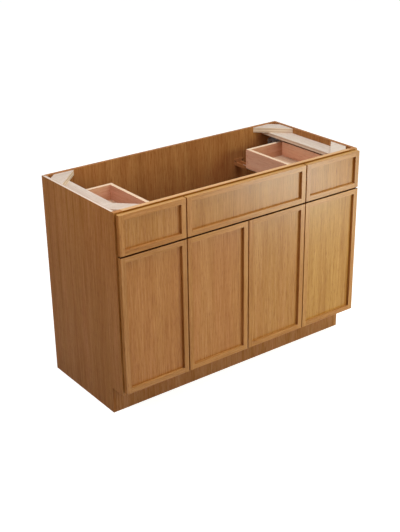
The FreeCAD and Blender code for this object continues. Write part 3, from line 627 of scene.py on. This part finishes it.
# %% Zinc-plated steel and nylon
def zinc_plate(name, dark, light):
    """Plated sheet: clouds of tone and fine rolling lines."""
    material, tree, output = new_material(name)
    place = add(tree, "ShaderNodeTexCoord").outputs["Object"]
    clouds = stretched_noise(tree, place, 9, 9, 4, 0.6)
    lines = stretched_noise(tree, place, 0.6, 30, 3)
    stops = [(0.35, dark), (0.65, light)]
    colour = add(tree, "ShaderNodeValToRGB", {"Fac": clouds}, stops).outputs["Color"]
    roughness = add(tree, "ShaderNodeMapRange",
                    {"Value": mixed(tree, [(clouds, 0.5), (lines, 0.5)]), "To Min": 0.24, "To Max": 0.5})
    bump = add(tree, "ShaderNodeBump", {"Height": lines, "Strength": 0.15, "Distance": 0.05 * MM})
    shader = add(tree, "ShaderNodeBsdfPrincipled",
                 {"Base Color": colour, "Metallic": 1.0, "Roughness": roughness.outputs[0],
                  "Normal": bump.outputs[0]})
    tree.links.new(shader.outputs[0], output.inputs[0])
    return material


def moulded(name, dark, light, rough):
    """Moulded plastic with a fine spark-eroded grain."""
    material, tree, output = new_material(name)
    place = add(tree, "ShaderNodeTexCoord").outputs["Object"]
    grains = stretched_noise(tree, place, 0.7, 0.7, 3, 0.6)
    clouds = stretched_noise(tree, place, 16, 16, 2)
    spots = mixed(tree, [(grains, 0.4), (clouds, 0.6)])
    stops = [(0.35, dark), (0.65, light)]
    colour = add(tree, "ShaderNodeValToRGB", {"Fac": spots}, stops).outputs["Color"]
    bump = add(tree, "ShaderNodeBump", {"Height": grains, "Strength": 0.2, "Distance": 0.05 * MM})
    shader = add(tree, "ShaderNodeBsdfPrincipled",
                 {"Base Color": colour, "Roughness": rough, "IOR": 1.53, "Normal": bump.outputs[0]})
    tree.links.new(shader.outputs[0], output.inputs[0])
    return material


zinc = zinc_plate("zinc_plated_steel", "#BEC3C8", "#DFE2E5")
bronze = zinc_plate("bronze_plated_steel", "#6E5438", "#8E7250")
pale_nylon = moulded("pale_nylon", "#C2C1BA", "#D2D1CA", 0.45)
brown_nylon = moulded("brown_nylon", "#9C6636", "#AA7140", 0.8)
clear_rubber = moulded("clear_polyurethane", "#D6D4CC", "#E6E4DE", 0.25)
# Painted shade: the floor of each screw's cross recess.
painted_shade_recess = moulded("painted_shade_screw_recess", "#3A3028", "#4A3E34", 0.5)

print("metals and plastics:", len([zinc, bronze, pale_nylon, brown_nylon, clear_rubber, painted_shade_recess]))

# %% [markdown]
# The fittings are thin, so their edges are eased less than a board's. The moulded parts have
# rounder edges than the pressed ones, because a mould needs a radius. All of them use the
# function for boards, with the same material on every face.

# %% Finish the fittings
zinc_nodes = ["rear_corner_angles", "false_front_clips", "hinge_arms", "slide_cabinet_members"]
for side in ("left_", "right_"):
    zinc_nodes += [side + "slide_drawer_members", side + "slide_middle_members"]
for node in zinc_nodes:
    finish_board(node, zinc, zinc, "Z", width_mm=0.25)
moulded_nodes = []
for side in ("left_", "right_"):
    moulded_nodes += [(side + "slide_glides", pale_nylon, 0.4), (side + "drawer_latches", pale_nylon, 0.6)]
moulded_nodes.append(("slide_rear_brackets", brown_nylon, 0.5))
for node, nylon, radius_mm in moulded_nodes:
    finish_board(node, nylon, nylon, "Z", width_mm=radius_mm)
print("metal and plastic nodes finished:", len(zinc_nodes) + len(moulded_nodes))

# %% [markdown]
# ## Screws, hinge cups and bumper pads
# The CAD screws are plain pegs that say where each screw is and which way it was driven. Here
# each one gets a domed pan head with a cross recess. A head is a circle that is extruded and
# scaled ring by ring. The last ring has twelve corners, and pulling every third one in makes
# it the cross.

# %% Shape a screw head
HEAD_SIDES = 12
# Each ring's scale, and its rise as a share of the height of the head.
HEAD_RINGS = ((1.0, 0.45), (0.93, 0.27), (0.8, 0.17), (0.69, 0.11))
CROSS_WAIST = 0.42
RECESS_TAPER, RECESS_DEPTH = 0.85, 0.62


def grow_ring(mesh, ring, factor, rise):
    """Extrude a ring of edges, scale the new ring about the axis and lift it."""
    made = bmesh.ops.extrude_edge_only(mesh, edges=ring)["geom"]
    verts = [item for item in made if isinstance(item, bmesh.types.BMVert)]
    bmesh.ops.scale(mesh, vec=(factor, factor, 1), verts=verts)
    bmesh.ops.translate(mesh, vec=(0, 0, rise), verts=verts)
    return [item for item in made if isinstance(item, bmesh.types.BMEdge)], verts


def domed_head(radius, height, shank_radius, length):
    """A pan head whose seat lies at z = 0, with its shank below."""
    mesh = bmesh.new()
    half_step = Matrix.Rotation(math.pi / HEAD_SIDES, 4, "Z")
    bmesh.ops.create_circle(mesh, segments=HEAD_SIDES, radius=shank_radius, matrix=half_step)
    bmesh.ops.translate(mesh, vec=(0, 0, -length), verts=mesh.verts)
    ring = list(mesh.edges)
    bmesh.ops.contextual_create(mesh, geom=ring)
    ring, _ = grow_ring(mesh, ring, 1.0, length)
    ring, _ = grow_ring(mesh, ring, radius / shank_radius, 0)
    for factor, rise in HEAD_RINGS:
        ring, verts = grow_ring(mesh, ring, factor, rise * height)
    for vertex in verts:
        if abs(abs(vertex.co.x) - abs(vertex.co.y)) < 0.01 * MM:
            vertex.co.x *= CROSS_WAIST
            vertex.co.y *= CROSS_WAIST
    ring, _ = grow_ring(mesh, ring, RECESS_TAPER, -RECESS_DEPTH * height)
    floor = bmesh.ops.contextual_create(mesh, geom=ring)["faces"]
    # The floor of the recess takes the painted shade.
    for face in floor:
        face.material_index = 1
    bmesh.ops.recalc_face_normals(mesh, faces=mesh.faces)
    data = bpy.data.meshes.new("screw_pattern")
    mesh.to_mesh(data)
    mesh.free()
    return data


print("rings of a screw head:", len(HEAD_RINGS))

# %% [markdown]
# Where a screw sits is read from its CAD peg: the longest side of its box gives the axis, and
# the end with the wide ring of vertices is the head. The places could be typed in from the
# drawing, but then they would be wrong as soon as a screw moved.

# %% Put the heads on the pegs
HEAD_HEIGHT = 1.4 * MM
SHANK_RADIUS = 1.9 * MM


def peg(island):
    """The top, the driving direction, the length and the radius of a CAD screw."""
    points = [vertex.co for vertex in island]
    low = Vector([min(p[i] for p in points) for i in range(3)])
    high = Vector([max(p[i] for p in points) for i in range(3)])
    middle = (low + high) / 2
    axis = max(range(3), key=lambda i: (high - low)[i])
    direction = Vector([1.0 if i == axis else 0.0 for i in range(3)])
    length = (high - low)[axis]

    def from_axis(point):
        return (point - middle - direction * (point - middle).dot(direction)).length

    widest = max(points, key=from_axis)
    radius = from_axis(widest)
    if (widest - middle).dot(direction) > 0:
        direction = -direction
    return middle - direction * length / 2, direction, length, radius


def place_screws(mesh, pegs):
    """Swap CAD pegs for screws with domed heads."""
    for island in pegs:
        top, into, length, radius = peg(island)
        pattern = domed_head(radius, HEAD_HEIGHT, SHANK_RADIUS, length - HEAD_HEIGHT)
        turn = into.to_track_quat("-Z", "Y").to_matrix().to_4x4()
        pattern.transform(Matrix.Translation(top + into * HEAD_HEIGHT) @ turn)
        mesh.from_mesh(pattern)
        bpy.data.meshes.remove(pattern)
    bmesh.ops.delete(mesh, geom=[v for island in pegs for v in island if v.is_valid], context="VERTS")


screw_count = 0
for node in ("fixing_screws", "left_drawer_front_screws", "right_drawer_front_screws"):
    mesh = merged_copy(node)
    pegs = islands(mesh)
    screw_count += len(pegs)
    place_screws(mesh, pegs)
    show_instead(mesh, node, [bronze, painted_shade_recess])
print("screws made:", screw_count)

# %% [markdown]
# The hinge cups are pressed from the same plated sheet. Each is one mesh with its own two small
# screws, so these keep their plain heads. The cups could get the function for boards too, but
# they have no grain and one metal all over, so easing their edges is enough.

# %% Finish the hinge cups
doors = ("door_1", "door_2", "door_3", "door_4")
for door in doors:
    mesh = merged_copy(door + "_hinge_cups")
    ease(mesh, 0.2)
    show_instead(mesh, door + "_hinge_cups", [zinc])
print("doors with hinge cups:", len(doors))

# %% [markdown]
# The bumper pads are soft domes of clear polyurethane on the face frame. The CAD pads are flat
# octagons. A bevel could round them, but a dome is made as easily in the way of the screw heads,
# without a recess. It lies inside the CAD pad.

# %% Make the bumper pads
PAD_SIDES = 24
PAD_RADIUS = 3.7 * MM
PAD_RINGS = ((1.0, 0.4), (0.94, 0.25), (0.82, 0.2), (0.6, 0.15))

mesh = bmesh.new()
source = merged_copy("front_bumpers")
pads = []
for island in islands(source):
    middle = sum((v.co for v in island), Vector()) / len(island)
    pads.append((middle.x, max(v.co.y for v in island), middle.z, min(v.co.y for v in island)))
source.free()
for x, frame_face, z, tip in pads:
    thickness = frame_face - tip
    dome = bmesh.new()
    bmesh.ops.create_circle(dome, segments=PAD_SIDES, radius=PAD_RADIUS)
    ring = list(dome.edges)
    bmesh.ops.contextual_create(dome, geom=ring)
    for factor, rise in PAD_RINGS:
        ring, _ = grow_ring(dome, ring, factor, rise * thickness)
    bmesh.ops.contextual_create(dome, geom=ring)
    bmesh.ops.recalc_face_normals(dome, faces=dome.faces)
    for face in dome.faces:
        face.smooth = True
    data = bpy.data.meshes.new("pad_pattern")
    dome.to_mesh(data)
    dome.free()
    data.transform(Matrix.Translation((x, frame_face, z)) @ Matrix.Rotation(math.pi / 2, 4, "X"))
    mesh.from_mesh(data)
    bpy.data.meshes.remove(data)
show_instead(mesh, "front_bumpers", [clear_rubber])
print("bumper pads made:", len(pads))

# %% [markdown]
# ## Floor, lamps and camera
# The cabinet stands in a white studio. The floor is pale and keeps a soft shadow. More light
# could make it white, but that would bleach the cabinet too. So the floor is lifted towards
# white only for the camera and for reflections, and the world is plain white for them, while
# the light on the cabinet stays at a plain level.

# %% Floor and world
FLOOR_HALF = 12
FLOOR_LIFT = 0.88


def seen_ray(tree):
    """One for rays that come from the camera, a reflection or clear plastic, zero for light."""
    rays = add(tree, "ShaderNodeLightPath").outputs
    sockets = {0: rays["Is Camera Ray"], 1: rays["Is Glossy Ray"]}
    both = add(tree, "ShaderNodeMath", sockets, operation="MAXIMUM").outputs[0]
    sockets = {0: both, 1: rays["Is Transmission Ray"]}
    return add(tree, "ShaderNodeMath", sockets, operation="MAXIMUM").outputs[0]


scene = bpy.context.scene
floor_mesh = bmesh.new()
bmesh.ops.create_grid(floor_mesh, x_segments=1, y_segments=1, size=FLOOR_HALF)
floor_data = bpy.data.meshes.new("studio_floor")
floor_mesh.to_mesh(floor_data)
floor_mesh.free()
floor = bpy.data.objects.new("studio_floor", floor_data)
scene.collection.objects.link(floor)

floor_paint, tree, output = new_material("white_studio_floor")
lift = add(tree, "ShaderNodeMath", {0: seen_ray(tree), 1: FLOOR_LIFT}, operation="MULTIPLY").outputs[0]
paint = add(tree, "ShaderNodeBsdfPrincipled",
            {"Base Color": linear("#BEBEBE"), "Roughness": 0.9, "IOR": 1.45,
             "Emission Color": linear("#FFFFFF"), "Emission Strength": lift})
tree.links.new(paint.outputs[0], output.inputs[0])
floor_data.materials.append(floor_paint)

world = bpy.data.worlds.new("white_studio")
scene.world = world
world.use_nodes = True
world.node_tree.nodes.clear()
tree = world.node_tree
room = add(tree, "ShaderNodeBackground", {"Color": linear("#F4F1EC"), "Strength": 0.20})
white = add(tree, "ShaderNodeBackground", {"Color": linear("#FFFFFF"), "Strength": 1.0})
either = add(tree, "ShaderNodeMixShader", {0: seen_ray(tree), 1: room.outputs[0], 2: white.outputs[0]})
add(tree, "ShaderNodeOutputWorld", {"Surface": either.outputs[0]})
print("floor is", 2 * FLOOR_HALF, "m wide")

# %% [markdown]
# One big lamp could light the cabinet evenly, but in the photo the tone changes from front to
# front. A warm soft lamp far in front lights all the fronts, and a weak one high on the left
# lifts the tops of the left ones. A nearer and cooler lamp on the right makes the fronts grow
# paler towards that side. A low strip lies where the satin finish of the upper right fronts
# mirrors it. A wide lamp above brightens the rim and the strips, and a weak one on the left
# keeps the shaded side readable.

# %% Lamps
def softbox(name, place, target, width, height, watts, colour):
    """A soft area lamp that faces a target. The camera doesn't see the lamp itself."""
    light = bpy.data.lights.new(name, "AREA")
    light.shape = "RECTANGLE"
    light.size = width
    light.size_y = height
    light.energy = watts
    light.color = linear(colour)[:3]
    lamp = bpy.data.objects.new(name, light)
    scene.collection.objects.link(lamp)
    lamp.visible_camera = False
    lamp.location = place
    lamp.rotation_euler = (Vector(target) - Vector(place)).to_track_quat("-Z", "Y").to_euler()


middle = (cad_low + cad_high) / 2
softbox("key_lamp", (0.8, -3.7, 1.8), (0.1, -0.28, 0.5), 1.4, 1.4, 22.8, "#FFE0CA")
softbox("upper_lamp", (-0.75, -1.1, 1.75), (-0.4, -0.27, 0.85), 0.5, 0.5, 2.3, "#FFCEB4")
softbox("right_lamp", (1.5, -2.2, 1.5), (0.3, -0.27, 0.6), 0.8, 0.8, 20, "#E0FFD4")
softbox("low_strip", (1.53, -1.78, 0.2), (0.3, -0.27, 0.78), 0.62, 0.35, 14.4, "#F4FFF4")
softbox("top_lamp", (0.3, -0.3, 3.4), middle, 2.2, 2.2, 75, "#FFFCF6")
softbox("fill_lamp", (-1.75, -0.2, 1.65), (-0.6, 0.0, 0.5), 0.8, 0.8, 10.4, "#FFF8F2")

# %% [markdown]
# The camera stands where the photographer's did: to the left, above the rim, a little tilted.
# It could be placed by eye, but its place here comes from solving the perspective of the
# cabinet's corners, so that every edge falls where it does in the photo.

# %% Camera
AZIMUTH, ELEVATION, ROLL = (math.radians(a) for a in (-36.52, 24.25, -0.84))
EYE = Vector((-2.3538, -3.1260, 2.1713))
IMAGE_HEIGHT = 532
FOCAL_PIXELS = 1001.2
SENSOR_MM = 36

back = Vector((math.sin(AZIMUTH) * math.cos(ELEVATION), -math.cos(AZIMUTH) * math.cos(ELEVATION),
               math.sin(ELEVATION)))
right = AXES["Z"].cross(back).normalized()
upward = back.cross(right)
tilted_right = right * math.cos(ROLL) + upward * math.sin(ROLL)
tilted_up = upward * math.cos(ROLL) - right * math.sin(ROLL)
camera_data = bpy.data.cameras.new("photo_camera")
camera_data.sensor_width = SENSOR_MM
camera_data.lens = FOCAL_PIXELS * SENSOR_MM / IMAGE_HEIGHT
camera = bpy.data.objects.new("photo_camera", camera_data)
scene.collection.objects.link(camera)
camera.matrix_world = Matrix.Translation(EYE) @ Matrix((tilted_right, tilted_up, back)).transposed().to_4x4()
scene.camera = camera
scene.view_settings.view_transform = "Standard"
print("lens in mm:", round(camera_data.lens, 2))
